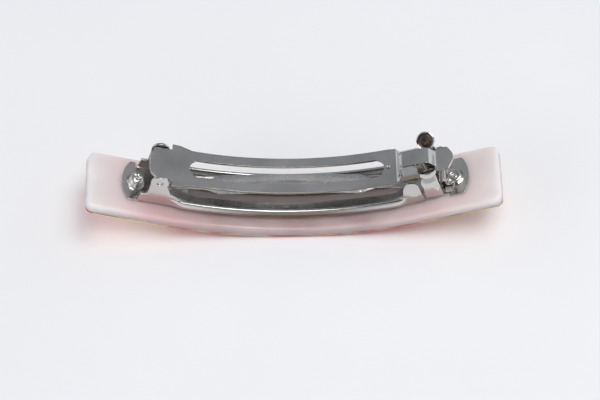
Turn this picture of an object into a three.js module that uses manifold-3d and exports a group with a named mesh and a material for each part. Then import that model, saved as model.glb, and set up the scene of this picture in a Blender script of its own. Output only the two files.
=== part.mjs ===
// A hair barrette: a curved acetate bar that carries a riveted spring clasp on its back.
// Millimetres, +Z up. The bar lies on its decorated, convex side. +X runs from the hinge to the catch.
//
// Sheet-metal pieces and the bar are first made flat, in "blank" coordinates: s along the length,
// y across, h above the bar's back. bend() then wraps the blank onto the bar's curve.

import * as THREE from 'three';
import { mergeVertices } from 'three/addons/utils/BufferGeometryUtils.js';
import Module from 'manifold-3d';

const wasm = await Module();
wasm.setup();

// ---------------------------------------------------------------- driving dimensions

const BAR = { halfLength: 48.6, halfWidth: 7.8, backing: 2.3, total: 3.0, corner: 1.6, glueGap: 0.02 };
const CURVE = { radius: 88, halfArc: 29.55, segments: 13 };
const CLIP = { hingeEnd: -40.85, catchEnd: 41.7, halfWidth: 5.0, sideShift: 0.8, seatGap: 0.03 };

const BASE = {
  thick: 0.55, wall: 0.45, flangeTop: 2.9, slotHalf: 1.1, slotEnd: 25,
  hingeTab: -37.6, catchTab: 36.8, tabArc: 9.3, neckHalf: 4.3, catchHalf: 4.4, cheekTop: 7.2,
};
const EAR = { from: -35.9, to: -30.3, waist: 4.4, radius: 2.1, foot: -37.2, footTop: 3.3 };
const PIN = { s: -34.0, h: 8.3, radius: 0.65, halfLength: 4.93, earHole: 0.75, lugHole: 0.85 };
const RIVET = { bore: 0.95, shank: 0.85, depth: 1.6, headRadius: 1.55 };
const HINGE_RIVET = { s: -37.7, y: 0, bossTop: 1.9, packing: 0, hollow: 0.45 };
const CATCH_RIVET = { s: 38.5, y: -0.4, bossTop: 0.9, packing: 0.43, hollow: 0.55 };
const BOSS = { footRadius: 1.95, topRadius: 1.5, wall: 0.45, seam: 0.03 };

const ARM = {
  thick: 0.55, under: 9.05, tail: -36.7, end: 40.2, plateHalf: 4.3, railHalf: 4.85,
  shoulderHalf: 5.7, shoulder: -31.5, waist: -26.8,
  slotFrom: -27.0, slotTo: 23.5, slotHalf: 2.4,
  frameEnd: 26.6, tongueHalf: 2.1, tongueUnder: 10.75, tongueFrom: 28.9, tongueTo: 34.7,
  headHalf: 3.4, headFrom: 36.3, headUnder: 8.0,
};
const LUG = { inner: 3.85, outer: 4.3, radius: 1.7 };
const SKIRT = { from: 28.2, to: 32.2, outer: 3.8, wall: 0.45, bottom: 7.5, lip: 2.75, lipTop: 7.9 };

const BOW = { from: -30.0, to: 28.0, thick: 0.35, crown: 6.45, end: 1.1, wideHalf: 2.6, legHalf: 1.2 };
const BOW_WIDE = { from: -20.4, to: 18.5, taper: 2.4 };

const CATCH = { thick: 0.4, floor: 0.64, from: 30.9, to: 35.3, half: 4.25, tailHalf: 2.4 };
const HUMP = { s: 35.95, reach: 0.6, top: 3.2 };
const PRONG = {
  inner: 4.4, outer: 4.8, foot: 1.16, footFrom: 31.3, footTo: 35.7, neckFrom: 32.5, neckTo: 36.3,
  crease: 6.6, neck: 8.3, bulge: 0.45,
};
const PAD = { s: 34.45, h: 10.45, radius: 2.15, rim: 4.2, depth: 1.7, thick: 0.4, lean: Math.PI / 4 };
const BARB = { inner: 2.2, outer: 2.6, tip: 3.15, from: 29.2, bottom: 5.8, toothBottom: 8.1, top: 8.5 };

// ---------------------------------------------------------------- the curve that everything follows

const ARC_ANGLE = CURVE.halfArc / CURVE.radius;
const FACET_DROP = (CURVE.radius + BAR.total) * (1 - Math.cos(ARC_ANGLE / CURVE.segments));

// A point of the blank (s, h) on the bent piece: an arc in the middle, and straight towards both ends.
function onCurve(s, h) {
  const side = Math.sign(s) || 1;
  const along = Math.abs(s);
  const angle = Math.min(along / CURVE.radius, ARC_ANGLE);
  const straight = Math.max(along - CURVE.halfArc, 0);
  const reach = (CURVE.radius - h) * Math.sin(angle) + straight * Math.cos(ARC_ANGLE);
  const rise = CURVE.radius - (CURVE.radius - h) * Math.cos(angle) + straight * Math.sin(ARC_ANGLE);
  return [side * reach, BAR.total + rise - FACET_DROP];
}

// The places along s where a blank is creased. An odd number of segments leaves a flat one in the middle.
const STATIONS = Array.from(
  { length: CURVE.segments + 1 },
  (_, i) => CURVE.halfArc * (2 * i / CURVE.segments - 1),
);
const BEYOND = 60;
const WELD = 1e-4;

// ---------------------------------------------------------------- solids

function toSolid(geometry) {
  const bare = geometry.index ? geometry.toNonIndexed() : geometry.clone();
  bare.deleteAttribute('normal');
  bare.deleteAttribute('uv');
  const merged = mergeVertices(bare, 1e-5);
  const mesh = new wasm.Mesh({
    numProp: 3,
    vertProperties: new Float32Array(merged.attributes.position.array),
    triVerts: new Uint32Array(merged.index.array),
  });
  return new wasm.Manifold(mesh);
}

function toTriangles(solid) {
  const { vertProperties, triVerts, numProp } = solid.getMesh();
  const corner = (i) => Array.from(vertProperties.slice(i * numProp, i * numProp + 3));
  const triangles = [];
  for (let i = 0; i < triVerts.length; i += 3) {
    triangles.push([corner(triVerts[i]), corner(triVerts[i + 1]), corner(triVerts[i + 2])]);
  }
  return triangles;
}

function join(solids) {
  return solids.reduce((whole, piece) => whole.add(piece));
}

function cut(solid, tools) {
  return tools.reduce((rest, tool) => rest.subtract(tool), solid);
}

// A plan outline (s, y), standing from h0 to h1.
function plan(shape, h0, h1) {
  const geometry = new THREE.ExtrudeGeometry(shape, { depth: h1 - h0, bevelEnabled: false, curveSegments: 10 });
  return toSolid(geometry.translate(0, 0, h0));
}

// A side outline (s, h), reaching across from y0 to y1.
function profile(shape, y0, y1) {
  const [near, far] = [Math.min(y0, y1), Math.max(y0, y1)];
  const geometry = new THREE.ExtrudeGeometry(shape, { depth: far - near, bevelEnabled: false, curveSegments: 8 });
  return toSolid(geometry.rotateX(Math.PI / 2).translate(0, far, 0));
}

// A cross-section outline (y, h), running along s from s0 to s1.
function section(shape, s0, s1) {
  const geometry = new THREE.ExtrudeGeometry(shape, { depth: s1 - s0, bevelEnabled: false, curveSegments: 8 });
  return toSolid(geometry.rotateX(Math.PI / 2).rotateZ(Math.PI / 2).translate(s0, 0, 0));
}

function block(s0, s1, y0, y1, h0, h1) {
  const geometry = new THREE.BoxGeometry(Math.abs(s1 - s0), Math.abs(y1 - y0), Math.abs(h1 - h0));
  return toSolid(geometry.translate((s0 + s1) / 2, (y0 + y1) / 2, (h0 + h1) / 2));
}

// A round bar across the piece, with its axis along y.
function crossRod(s, h, radius, y0, y1, sides = 16) {
  const geometry = new THREE.CylinderGeometry(radius, radius, Math.abs(y1 - y0), sides);
  return toSolid(geometry.translate(s, (y0 + y1) / 2, h));
}

// A turned shape standing on the bar, from (radius, h) pairs.
function turned(pairs, s, y = 0, sides = 24) {
  const points = pairs.map(([radius, h]) => new THREE.Vector2(radius, h));
  const geometry = new THREE.LatheGeometry(points, sides).rotateX(Math.PI / 2);
  return toSolid(geometry.translate(s, y, 0));
}

function polygon(pairs) {
  return new THREE.Shape(pairs.map(([a, b]) => new THREE.Vector2(a, b)));
}

// The outline of a strip of even thickness, from the points along its lower side.
function strip(lower, thick) {
  const points = lower.map(([a, b]) => new THREE.Vector2(a, b));
  const upper = points.map((point, i) => {
    const before = points[Math.max(i - 1, 0)];
    const after = points[Math.min(i + 1, points.length - 1)];
    const heading = after.clone().sub(before).normalize();
    return new THREE.Vector2(point.x - heading.y * thick, point.y + heading.x * thick);
  });
  return new THREE.Shape([...points, ...upper.reverse()]);
}

// ---------------------------------------------------------------- bending a blank

function bentPoint([s, y, h], sideShift) {
  const [x, z] = onCurve(s, h);
  return [x, y + sideShift, z];
}

function fromTriangles(triangles) {
  const geometry = new THREE.BufferGeometry();
  geometry.setAttribute('position', new THREE.Float32BufferAttribute(triangles.flat(2), 3));
  return geometry;
}

function distance(a, b) {
  return Math.hypot(a[0] - b[0], a[1] - b[1], a[2] - b[2]);
}

// Cuts a triangle whose edge lies on a wall at the other points that lie on that edge.
function splitAtPoints(triangle, points) {
  for (let k = 0; k < 3; k += 1) {
    const [a, b, c] = [triangle[k], triangle[(k + 1) % 3], triangle[(k + 2) % 3]];
    if (points.includes(a) && points.includes(b)) {
      const between = points.filter((p) => {
        return p !== a && p !== b && distance(a, p) + distance(p, b) - distance(a, b) < WELD / 20;
      });
      const chain = [a, ...between.sort((p, q) => distance(a, p) - distance(a, q)), b];
      return chain.slice(1).map((p, i) => [chain[i], p, c]);
    }
  }
  return [triangle];
}

// Makes the slabs on both sides of each wall share its points, so that they close up into one body.
function weldWalls(triangles) {
  return STATIONS.reduce((rest, at) => {
    const points = [];
    const weld = (corner) => {
      if (Math.abs(corner[0] - at) > WELD) return corner;
      const twin = points.find((point) => distance(point, corner) < WELD);
      if (!twin) points.push(corner);
      return twin || corner;
    };
    return rest.map((corners) => corners.map(weld)).flatMap((corners) => splitAtPoints(corners, points));
  }, triangles);
}

// Cuts a flat solid into slabs at the stations, leaves out the walls between them, and wraps the rest
// onto the curve.
function bend(solid, sideShift = 0) {
  const cuts = [-BEYOND, ...STATIONS, BEYOND];
  const isWall = (corners) => STATIONS.some((at) => corners.every(([s]) => Math.abs(s - at) < WELD));
  const flat = cuts.slice(1).flatMap((end, i) => {
    const slab = solid.intersect(block(cuts[i], end, -BEYOND, BEYOND, -BEYOND, BEYOND));
    return toTriangles(slab).filter((corners) => !isWall(corners));
  });
  const welded = weldWalls(flat).filter(([a, b, c]) => a !== b && b !== c && c !== a);
  const bent = welded.map((corners) => corners.map((corner) => bentPoint(corner, sideShift)));
  const geometry = mergeVertices(fromTriangles(bent), WELD);
  const corners = geometry.index.array;
  const kept = [];
  for (let i = 0; i < corners.length; i += 3) {
    const [a, b, c] = corners.slice(i, i + 3);
    if (a !== b && b !== c && c !== a) kept.push(a, b, c);
  }
  geometry.setIndex(kept);
  geometry.computeVertexNormals();
  return geometry;
}

// ---------------------------------------------------------------- the acetate bar

function roundedBar(halfLength, halfWidth, corner) {
  const shape = new THREE.Shape();
  shape.moveTo(-halfLength + corner, -halfWidth);
  shape.lineTo(halfLength - corner, -halfWidth);
  shape.absarc(halfLength - corner, -halfWidth + corner, corner, -Math.PI / 2, 0);
  shape.absarc(halfLength - corner, halfWidth - corner, corner, 0, Math.PI / 2);
  shape.absarc(-halfLength + corner, halfWidth - corner, corner, Math.PI / 2, Math.PI);
  shape.absarc(-halfLength + corner, -halfWidth + corner, corner, Math.PI, 1.5 * Math.PI);
  return shape;
}

// A round cutter through the seat of a rivet.
function rivetHole({ s, y }, radius, h0, h1) {
  return turned([[0, h0], [radius, h0], [radius, h1], [0, h1]], s, y, 20);
}

function backing() {
  const bar = plan(roundedBar(BAR.halfLength, BAR.halfWidth, BAR.corner), -BAR.backing, 0);
  const holes = [HINGE_RIVET, CATCH_RIVET].map((place) => {
    return rivetHole(place, RIVET.bore, -RIVET.depth - 0.1, 1).translate([0, CLIP.sideShift, 0]);
  });
  return bend(cut(bar, holes));
}

function decoratedFace() {
  const outline = roundedBar(BAR.halfLength, BAR.halfWidth, BAR.corner);
  return bend(plan(outline, -BAR.total, -BAR.backing - BAR.glueGap));
}

// ---------------------------------------------------------------- the base plate

// The tab that reaches out to one end of the plate: straight sides and an arc for an end.
function baseTab(start, end) {
  const { tabArc } = BASE;
  const from = Math.abs(start);
  const sweep = Math.asin(CLIP.halfWidth / tabArc);
  const centre = Math.abs(end) - tabArc;
  const shape = new THREE.Shape();
  shape.moveTo(from, -CLIP.halfWidth);
  shape.lineTo(centre + tabArc * Math.cos(sweep), -CLIP.halfWidth);
  shape.absarc(centre, 0, tabArc, -sweep, sweep);
  shape.lineTo(from, CLIP.halfWidth);
  shape.closePath();
  const tab = plan(shape, CLIP.seatGap, CLIP.seatGap + BASE.thick);
  return end > 0 ? tab : tab.mirror([1, 0, 0]);
}

// The floor between the tabs, narrow behind the ears and under the catch.
function baseFloor() {
  const top = CLIP.seatGap + BASE.thick;
  const behindEars = block(BASE.hingeTab - 0.2, EAR.foot, -BASE.neckHalf, BASE.neckHalf, CLIP.seatGap, top);
  const middle = block(EAR.foot, CATCH.from, -CLIP.halfWidth, CLIP.halfWidth, CLIP.seatGap, top);
  const underCatch = block(CATCH.from - 0.1, BASE.catchTab + 0.2, -BASE.catchHalf, BASE.catchHalf,
    CLIP.seatGap, top);
  return join([behindEars, middle, underCatch]);
}

// One side wall: the hinge ear, a low flange along the bar, and the cheek beside the catch.
function sideWall(side) {
  const shape = new THREE.Shape();
  shape.moveTo(EAR.foot, CLIP.seatGap);
  shape.lineTo(EAR.foot, EAR.footTop);
  shape.lineTo(EAR.from + 0.2, EAR.footTop + 0.1);
  shape.lineTo(EAR.from, PIN.h - 0.9);
  shape.absarc(PIN.s, PIN.h, EAR.radius, Math.PI * 1.13, -Math.PI * 0.1, true);
  shape.lineTo(EAR.to, EAR.waist);
  shape.bezierCurveTo(EAR.to + 1.3, EAR.waist, EAR.to + 1.6, BASE.flangeTop, EAR.to + 3.4, BASE.flangeTop);
  shape.lineTo(CATCH.from - 5, BASE.flangeTop);
  shape.bezierCurveTo(CATCH.from - 3.9, BASE.flangeTop, CATCH.from - 3.6, BASE.cheekTop,
    CATCH.from - 2, BASE.cheekTop);
  shape.lineTo(CATCH.from + 0.3, BASE.cheekTop);
  shape.lineTo(CATCH.from + 0.5, BASE.cheekTop - 0.6);
  shape.lineTo(CATCH.from, CLIP.seatGap);
  shape.closePath();
  const inner = CLIP.halfWidth - BASE.wall;
  return profile(shape, side * inner, side * CLIP.halfWidth);
}

// The raised cone around a rivet: a thin shell, hollow underneath.
function rivetBoss({ s, y, bossTop }) {
  const { footRadius, topRadius, wall } = BOSS;
  const foot = CLIP.seatGap;
  const under = bossTop - wall;
  const shell = [
    [RIVET.bore, under], [topRadius - 0.2, under], [footRadius - 0.3, foot], [footRadius + 0.2, foot],
    [footRadius + 0.2, foot + BASE.thick], [footRadius, foot + BASE.thick], [topRadius, bossTop],
    [RIVET.bore, bossTop], [RIVET.bore, under],
  ];
  return turned(shell, s, y);
}

function slotOutline(from, to, half) {
  const shape = new THREE.Shape();
  shape.moveTo(from + half, -half);
  shape.lineTo(to - half, -half);
  shape.absarc(to - half, 0, half, -Math.PI / 2, Math.PI / 2);
  shape.lineTo(from + half, half);
  shape.absarc(from + half, 0, half, Math.PI / 2, 1.5 * Math.PI);
  return shape;
}

function basePlate() {
  const walls = [-1, 1].map((side) => sideWall(side));
  const flat = join([baseTab(BASE.hingeTab, CLIP.hingeEnd), baseTab(BASE.catchTab, CLIP.catchEnd), baseFloor(), ...walls]);
  const slot = plan(slotOutline(-BASE.slotEnd, BASE.slotEnd, BASE.slotHalf), -0.5, 1.5);
  const windows = [-1, 1].map((side) => block(35.9, 37.6, side * 2.5, side * 3.9, -0.5, 1.5));
  const bossSeats = [HINGE_RIVET, CATCH_RIVET].map((place) => rivetHole(place, BOSS.footRadius, -0.5, 1.5));
  const pinHoles = crossRod(PIN.s, PIN.h, PIN.earHole, -6, 6);
  const bosses = [HINGE_RIVET, CATCH_RIVET].map((place) => rivetBoss(place));
  return bend(join([cut(flat, [slot, ...windows, ...bossSeats, pinHoles]), ...bosses]), CLIP.sideShift);
}

// ---------------------------------------------------------------- rivets and pin

// A tubular rivet, blind in the bar, with its end rolled outwards over the boss or what lies on it.
function rivet({ s, y, bossTop, packing, hollow }) {
  const { shank, headRadius, depth } = RIVET;
  const seat = bossTop + BOSS.seam + packing;
  const outline = [
    [0, -depth], [shank, -depth], [shank, seat], [headRadius, seat], [headRadius + 0.1, seat + 0.2],
    [headRadius - 0.25, seat + 0.5], [shank, seat + 0.55], [hollow, seat + 0.3], [hollow, 0.2], [0, 0.2],
  ];
  return bend(turned(outline, s, y), CLIP.sideShift);
}

function hingePin() {
  return bend(crossRod(PIN.s, PIN.h, PIN.radius, -PIN.halfLength, PIN.halfLength), CLIP.sideShift);
}

// ---------------------------------------------------------------- the clasp arm

// The arm's plan: hinge plate, shoulders beyond the ears, rails, and a solid front end.
function armOutline() {
  const shape = new THREE.Shape();
  const half = [
    [ARM.tail + 1.2, ARM.plateHalf], [ARM.shoulder, ARM.plateHalf], [ARM.shoulder, ARM.shoulderHalf],
    [ARM.shoulder + 1.8, ARM.shoulderHalf - 0.1], [ARM.shoulder + 3.2, ARM.shoulderHalf - 0.4],
    [ARM.waist, ARM.railHalf], [ARM.frameEnd - 3, ARM.railHalf], [ARM.frameEnd, ARM.railHalf - 0.3],
    [ARM.frameEnd + 0.8, ARM.railHalf - 1], [ARM.tongueFrom - 0.9, ARM.tongueHalf + 0.6],
    [ARM.tongueFrom, ARM.tongueHalf], [ARM.tongueTo + 0.8, ARM.tongueHalf],
    [ARM.headFrom - 0.1, ARM.headHalf], [ARM.headFrom + 1.2, ARM.headHalf],
    [ARM.headFrom + 1.9, ARM.headHalf - 0.35], [ARM.headFrom + 2.6, ARM.headHalf - 0.45],
    [ARM.end - 0.5, 2.1], [ARM.end, 1.0],
  ];
  shape.moveTo(ARM.tail, 0);
  shape.quadraticCurveTo(ARM.tail, -ARM.plateHalf + 0.6, half[0][0], -half[0][1]);
  half.slice(1).forEach(([s, y]) => shape.lineTo(s, -y));
  [...half].reverse().forEach(([s, y]) => shape.lineTo(s, y));
  shape.quadraticCurveTo(ARM.tail, ARM.plateHalf - 0.6, ARM.tail, 0);
  return shape;
}

// The arm's side view: parallel to the bar, raised over the catch, and down again to the lifting plate.
function armLine() {
  const raised = ARM.tongueUnder;
  return [
    [ARM.tail - 1, ARM.under], [ARM.frameEnd, ARM.under], [ARM.frameEnd + 0.6, ARM.under + 0.2],
    [ARM.tongueFrom - 0.7, raised - 0.2], [ARM.tongueFrom, raised], [SKIRT.to, raised],
    [ARM.tongueTo, raised - 1.2], [ARM.tongueTo + 0.5, raised - 1.5], [ARM.headFrom - 0.4, ARM.headUnder + 0.2],
    [ARM.headFrom, ARM.headUnder], [ARM.end + 1, ARM.headUnder],
  ];
}

// A lug that hangs from the hinge plate, inside one ear.
function armLug(side) {
  const shape = new THREE.Shape();
  const above = ARM.under + 0.2;
  shape.moveTo(PIN.s - LUG.radius, above);
  shape.lineTo(PIN.s - LUG.radius, PIN.h);
  shape.absarc(PIN.s, PIN.h, LUG.radius, Math.PI, 2 * Math.PI);
  shape.lineTo(PIN.s + LUG.radius, above);
  shape.closePath();
  return profile(shape, side * LUG.inner, side * LUG.outer);
}

// One side of the raised tongue: a sloped shoulder, an upright skirt and a lip that the catch holds.
function armSkirt(side) {
  const { outer, wall, bottom, lip, lipTop } = SKIRT;
  const top = ARM.tongueUnder + ARM.thick;
  const half = ARM.tongueHalf;
  const outline = [
    [half - 0.3, top], [half, top], [outer, top - 1.7], [outer, bottom], [lip, bottom], [lip, lipTop],
    [outer - wall, lipTop], [outer - wall, top - 1.9], [half - 0.3, top - ARM.thick],
  ].map(([y, h]) => [side * y, h]);
  return section(polygon(outline), SKIRT.from, SKIRT.to);
}

function claspArm() {
  const sheet = profile(strip(armLine(), ARM.thick), -7, 7);
  const outline = plan(armOutline(), 0, 20);
  const slot = plan(slotOutline(ARM.slotFrom, ARM.slotTo, ARM.slotHalf), 0, 20);
  const lugs = [-1, 1].map((side) => armLug(side));
  const skirts = [-1, 1].map((side) => armSkirt(side));
  const body = join([sheet.intersect(outline).subtract(slot), ...lugs, ...skirts]);
  return bend(cut(body, [crossRod(PIN.s, PIN.h, PIN.lugHole, -6, 6)]), CLIP.sideShift);
}

// ---------------------------------------------------------------- the tension bar

function bowHeight(s) {
  const middle = (BOW.from + BOW.to) / 2;
  const reach = (BOW.to - BOW.from) / 2;
  return BOW.crown - (BOW.crown - BOW.end) * ((s - middle) / reach) ** 2;
}

function bowOutline() {
  const { from, to, taper } = BOW_WIDE;
  const half = [
    [BOW.from + 0.5, BOW.legHalf - 0.5], [BOW.from + 1, BOW.legHalf], [from - 1, BOW.legHalf],
    [from + taper, BOW.wideHalf], [to - taper, BOW.wideHalf], [to + 1, BOW.legHalf],
    [BOW.to - 1, BOW.legHalf], [BOW.to - 0.5, BOW.legHalf - 0.5],
  ];
  const mirrored = [...half].reverse().map(([s, y]) => [s, -y]);
  return polygon([...mirrored, ...half]);
}

function tensionBar() {
  const steps = 28;
  const line = Array.from({ length: steps + 1 }, (_, i) => {
    const s = BOW.from + (BOW.to - BOW.from) * i / steps;
    return [s, bowHeight(s)];
  });
  const sheet = profile(strip(line, BOW.thick), -5, 5);
  return bend(sheet.intersect(plan(bowOutline(), 0, 20)), CLIP.sideShift);
}

// ---------------------------------------------------------------- the catch

// The underside of the tail: it leaves the floor, arches over in a hump, and ends under the eyelet.
function tailLine() {
  const { floor, to } = CATCH;
  const tailFloor = CATCH_RIVET.bossTop + BOSS.seam;
  const steps = 10;
  const arch = Array.from({ length: steps + 1 }, (_, i) => {
    const turn = Math.PI * (1 - i / steps);
    const foot = turn > Math.PI / 2 ? floor : tailFloor;
    return [HUMP.s + HUMP.reach * Math.cos(turn), foot + (HUMP.top - foot) * Math.sin(turn)];
  });
  return [[to - 0.9, floor], ...arch, [CATCH_RIVET.s + 1.4, tailFloor]];
}

// Floor on the base plate and tail, with a stub under each prong.
function catchSpring() {
  const { thick, floor, from, to, half, tailHalf } = CATCH;
  const plate = block(from, to, -half, half, floor, floor + thick);
  const tail = profile(strip(tailLine(), thick), -tailHalf, tailHalf);
  const stubs = [-1, 1].map((side) => block(PRONG.footFrom, to, side * (half - 0.2), side * PRONG.outer,
    floor, floor + thick));
  return bend(join([plate, tail, ...stubs]).subtract(rivetHole(CATCH_RIVET, RIVET.bore, 0, 5)), CLIP.sideShift);
}

// A prong's upright sheet, seen along the bar: straight, then bulging outwards below the pad.
function prongSheet(side) {
  const { inner, outer, foot, crease, neck, bulge, footFrom, neckTo } = PRONG;
  const outline = [
    [inner, foot], [outer, foot], [outer, crease], [outer + bulge, crease + 0.5], [outer + bulge, neck - 0.6],
    [outer - 0.2, neck + 0.3], [inner - 0.3, neck + 0.9], [inner - 0.6, neck + 0.6], [inner, neck - 0.4],
    [inner, crease],
  ].map(([y, h]) => [side * y, h]);
  return section(polygon(outline), footFrom, neckTo);
}

function prongOutline() {
  const { foot, crease, neck, footFrom, footTo, neckFrom, neckTo } = PRONG;
  return polygon([
    [footFrom, foot - 1], [footTo, foot - 1], [neckTo - 0.2, crease], [neckTo, crease + 1],
    [neckTo - 0.7, neck + 1.2], [neckFrom + 0.7, neck + 1.2], [neckFrom, crease + 1], [neckFrom, crease],
  ]);
}

// The round finger pad: a dished cup that bulges outwards, with its top leaning away from the arm.
function fingerPad(side) {
  const { radius, depth, thick, rim, lean } = PAD;
  const steps = 5;
  const bowl = (reach, deep) => Array.from({ length: steps + 1 }, (_, i) => {
    const turn = (Math.PI / 2) * i / steps;
    return [reach * Math.sin(turn), deep * Math.cos(turn)];
  });
  const pairs = [...bowl(radius, depth), ...bowl(radius - thick, depth - thick).reverse()];
  const points = pairs.map(([r, y]) => new THREE.Vector2(r, y));
  const cup = toSolid(new THREE.LatheGeometry(points.reverse(), 20).rotateX(-lean));
  const turnedCup = side > 0 ? cup : cup.mirror([0, 1, 0]);
  return turnedCup.translate([PAD.s, side * rim, PAD.h]);
}

// The hook inside the arm's skirt, and the web that ties it to the prong.
function prongBarb(side) {
  const { inner, outer, tip, from, bottom, toothBottom, top } = BARB;
  const web = [SKIRT.to + 0.4, SKIRT.to + 0.8];
  return join([
    block(from, web[1], side * inner, side * outer, bottom, top),
    block(from, SKIRT.to - 1.1, side * (outer - 0.1), side * tip, toothBottom, top),
    block(web[0], web[1], side * inner, side * (PRONG.outer - 0.1), bottom, PRONG.crease + 0.4),
    block(web[0], PRONG.neckFrom + 0.6, side * PRONG.inner, side * (PRONG.outer - 0.1), bottom, PRONG.crease),
  ]);
}

function catchProng(side) {
  const upright = prongSheet(side).intersect(profile(prongOutline(), -8, 8));
  return bend(join([upright, fingerPad(side), prongBarb(side)]), CLIP.sideShift);
}

// ---------------------------------------------------------------- materials and assembly

const ACETATE = new THREE.MeshStandardMaterial({ color: 0xd9bcbc, roughness: 0.25, metalness: 0 });
const PATTERN = new THREE.MeshStandardMaterial({ color: 0xc8503c, roughness: 0.2, metalness: 0 });
const NICKEL = new THREE.MeshStandardMaterial({ color: 0xb4b4b2, roughness: 0.22, metalness: 1 });
const SPRING = new THREE.MeshStandardMaterial({ color: 0xaaa8a2, roughness: 0.15, metalness: 1 });
const RIVET_METAL = new THREE.MeshStandardMaterial({ color: 0xc9c9c6, roughness: 0.18, metalness: 1 });

function piece(name, geometry, material) {
  const mesh = new THREE.Mesh(geometry, material);
  mesh.name = name;
  return mesh;
}

const barrette = new THREE.Group();
barrette.name = 'barrette';
barrette.add(
  piece('acetate_backing', backing(), ACETATE),
  piece('decorated_face', decoratedFace(), PATTERN),
  piece('base_plate', basePlate(), NICKEL),
  piece('rivet_hinge_end', rivet(HINGE_RIVET), RIVET_METAL),
  piece('rivet_catch_end', rivet(CATCH_RIVET), RIVET_METAL),
  piece('hinge_pin', hingePin(), RIVET_METAL),
  piece('clasp_arm', claspArm(), NICKEL),
  piece('tension_bar', tensionBar(), SPRING),
  piece('catch_spring', catchSpring(), SPRING),
  piece('catch_prong_near', catchProng(-1), SPRING),
  piece('catch_prong_far', catchProng(1), SPRING),
);

export default barrette;
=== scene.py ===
"""A hair barrette lying face down, with its sheet-metal clasp up, on a pale cloth floor.

Pieces are first made flat, in blank millimetres: s along the bar from the hinge to the catch,
y across the clasp, h above the bar's back. bent() wraps them onto the bar's curve, in metres.
"""

import math

import bmesh
import bpy
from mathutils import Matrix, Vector, noise


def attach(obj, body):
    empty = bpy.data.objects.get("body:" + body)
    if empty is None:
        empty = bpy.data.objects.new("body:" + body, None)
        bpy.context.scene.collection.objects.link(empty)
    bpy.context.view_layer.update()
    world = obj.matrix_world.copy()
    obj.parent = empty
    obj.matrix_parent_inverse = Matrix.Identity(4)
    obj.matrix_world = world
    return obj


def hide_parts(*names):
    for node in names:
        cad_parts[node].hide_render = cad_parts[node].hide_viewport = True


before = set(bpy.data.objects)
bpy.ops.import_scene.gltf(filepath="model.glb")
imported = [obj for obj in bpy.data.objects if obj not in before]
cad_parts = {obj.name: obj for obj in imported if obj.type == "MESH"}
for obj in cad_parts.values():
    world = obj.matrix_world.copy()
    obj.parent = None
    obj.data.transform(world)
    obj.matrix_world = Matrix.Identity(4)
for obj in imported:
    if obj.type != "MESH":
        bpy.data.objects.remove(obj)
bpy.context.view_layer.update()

# ---------------------------------------------------------------- sizes, in millimetres; lean in radians

MM = 0.001
BAR = dict(half_length=48.6, half_width=7.8, backing=2.3, total=3.0, corner=1.6, glue=0.02)
CURVE_RADIUS = 88.0
HALF_ARC = 29.55
SIDE_SHIFT = 0.8

SEAT = 0.03
SHEET = 0.5
FLOOR_TOP = SEAT + SHEET
CLIP = dict(hinge_end=-40.85, catch_end=41.7, half=5.0, tab_arc=9.3)
PLATE = dict(neck=4.05, far_tab=0.55, slot_reach=25, slot_half=1.1, rivet_hole=1.6, pin_hole=0.72)
FOLD = dict(radius=0.55, first=-37.3, last=31.12)
FLANGE = dict(top=2.9)
EAR = dict(first=-35.9, last=-30.3, waist=4.4, radius=2.1, foot=-37.15, foot_top=3.3)
PIN = dict(s=-34.0, h=8.3, radius=0.65, half_length=4.93)
HINGE_RIVET = dict(s=-37.7, y=0.0, top=1.9)
CATCH_RIVET = dict(s=38.5, y=-0.4, top=0.9)

ARM = dict(under=9.05, thick=0.55, tail=-36.7, end=40.2, plate=4.3, rail=4.85, shoulder=5.7,
           shoulder_at=-31.5, waist_at=-26.8, slot_from=-27.0, slot_to=23.5, slot_half=2.4,
           frame_end=26.6, tongue_half=2.1, tongue_top=10.75, tongue_to=34.7,
           head_half=3.4, head_from=36.3, head_under=8.0)
LUG = dict(radius=1.7, hole=0.82, thick=0.45, y=4.07, top=9.45)
DENT = dict(centre=(24.6, 0.0), size=0.42, depth=0.22)
SKIRT = dict(first=28.2, last=32.2, outer=3.8, wall=0.45, bottom=7.5, lip=2.8)
BOW = dict(first=-30.0, last=28.0, thick=0.35, crown=6.45, end=1.1, wide=2.6, leg=1.2,
           wide_first=-20.4, wide_last=18.5, taper=2.4)
CATCH = dict(thick=0.4, floor=0.64, first=30.9, last=35.3, half=4.25, tail_half=2.4)
HUMP = dict(s=35.95, reach=0.6, top=3.2)
PRONG = dict(thick=0.4, middle=4.6)
BARB = dict(first=29.3, last=33.0, low=5.9, high=8.4, y=2.4, thick=0.4)
PAD = dict(s=34.45, h=10.45, radius=2.15, rim=4.38, depth=1.7, wall=0.28, lean=math.radians(51))

# ---------------------------------------------------------------- the bar's curve


def on_curve(s, h):
    """Where the blank's (s, h) lies once bent: an arc in the middle, straight towards both ends."""
    along = abs(s)
    angle = min(along, HALF_ARC) / CURVE_RADIUS
    straight = max(along - HALF_ARC, 0.0)
    reach = (CURVE_RADIUS - h) * math.sin(angle) + straight * math.cos(angle)
    rise = CURVE_RADIUS - (CURVE_RADIUS - h) * math.cos(angle) + straight * math.sin(angle)
    return math.copysign(reach, s), BAR["total"] + rise


def bent(s, y, h, shift=SIDE_SHIFT):
    """The point in metres. The clasp sits a little to the side on the bar, hence the shift."""
    x, z = on_curve(s, h)
    return Vector((x, y + shift, z)) * MM


def within_one(value):
    """The value, kept between 0 and 1."""
    return min(max(value, 0.0), 1.0)


def steps(first, last, spacing):
    """Evenly spaced places from first to last, both included."""
    count = max(1, round(abs(last - first) / spacing))
    return [first + (last - first) * k / count for k in range(count + 1)]


# ---------------------------------------------------------------- outlines and paths


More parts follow.
